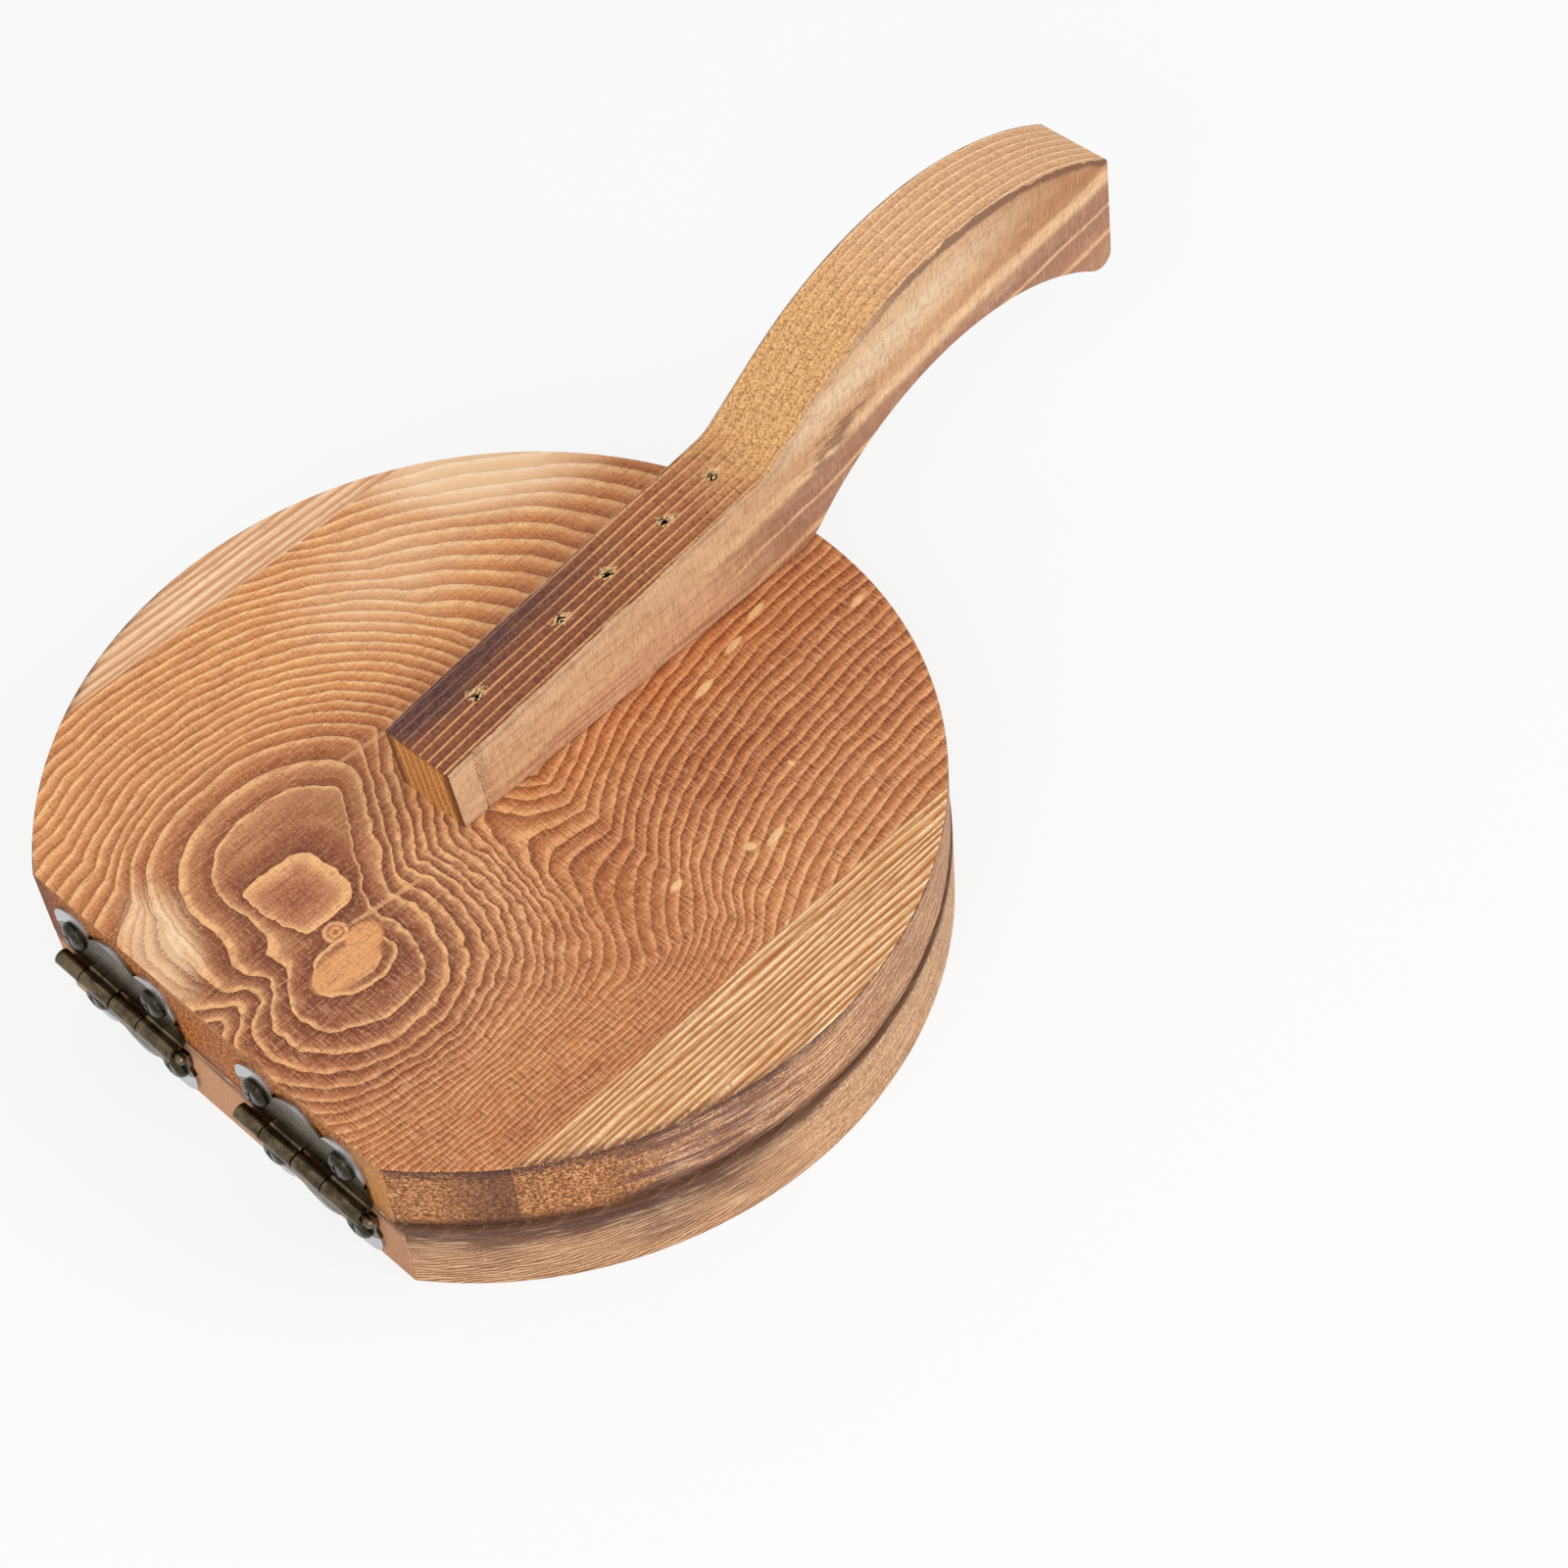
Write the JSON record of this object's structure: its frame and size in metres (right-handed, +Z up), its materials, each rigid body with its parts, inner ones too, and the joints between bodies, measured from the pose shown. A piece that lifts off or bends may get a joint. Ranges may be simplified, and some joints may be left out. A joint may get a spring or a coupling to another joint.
{
  "type": "dumpling wrapper press",
  "caption": "Hinged round wooden press that flattens dough balls into dumpling wrappers, with a carved lever handle.",
  "frame": {"origin": "on the bottom face of the lower plate, below the centre of the upper plate's round edge", "axes": "+Z up out of the top face, +Y towards the hinges, so the handle reaches out along -Y"},
  "size_m": [0.1509, 0.2182, 0.075],
  "materials": {
    "plate_wood": "torched and wire-brushed pine",
    "handle_wood": "torched pine, sawn and lightly sanded",
    "hinge_metal": "dark antique bronze plating",
    "pin_metal": "bright wire",
    "screw_metal": "dark antique bronze plating",
    "brad_metal": "dull wire"
  },
  "bodies": {
    "base": {"left_hinge_lower_leaf": "hinge_metal", "left_hinge_lower_screw_1": "screw_metal", "left_hinge_lower_screw_2": "screw_metal", "left_hinge_pin": "pin_metal", "lower_plate": "plate_wood", "right_hinge_lower_leaf": "hinge_metal", "right_hinge_lower_screw_1": "screw_metal", "right_hinge_lower_screw_2": "screw_metal", "right_hinge_pin": "pin_metal"},
    "lid": {"handle": "handle_wood", "handle_brad_1": "brad_metal", "handle_brad_2": "brad_metal", "handle_brad_3": "brad_metal", "handle_brad_4": "brad_metal", "handle_brad_5": "brad_metal", "left_hinge_upper_leaf": "hinge_metal", "left_hinge_upper_screw_1": "screw_metal", "left_hinge_upper_screw_2": "screw_metal", "right_hinge_upper_leaf": "hinge_metal", "right_hinge_upper_screw_1": "screw_metal", "right_hinge_upper_screw_2": "screw_metal", "upper_board_left": "plate_wood", "upper_board_middle": "plate_wood", "upper_board_right": "plate_wood"}
  },
  "joints": [
    {"name": "lid_hinge", "type": "hinge", "parent": "base", "child": "lid", "pos_m": [0, 0.0643, 0.0151], "axis": [-1, 0, 0], "range_deg": [0, 164]}
  ]
}
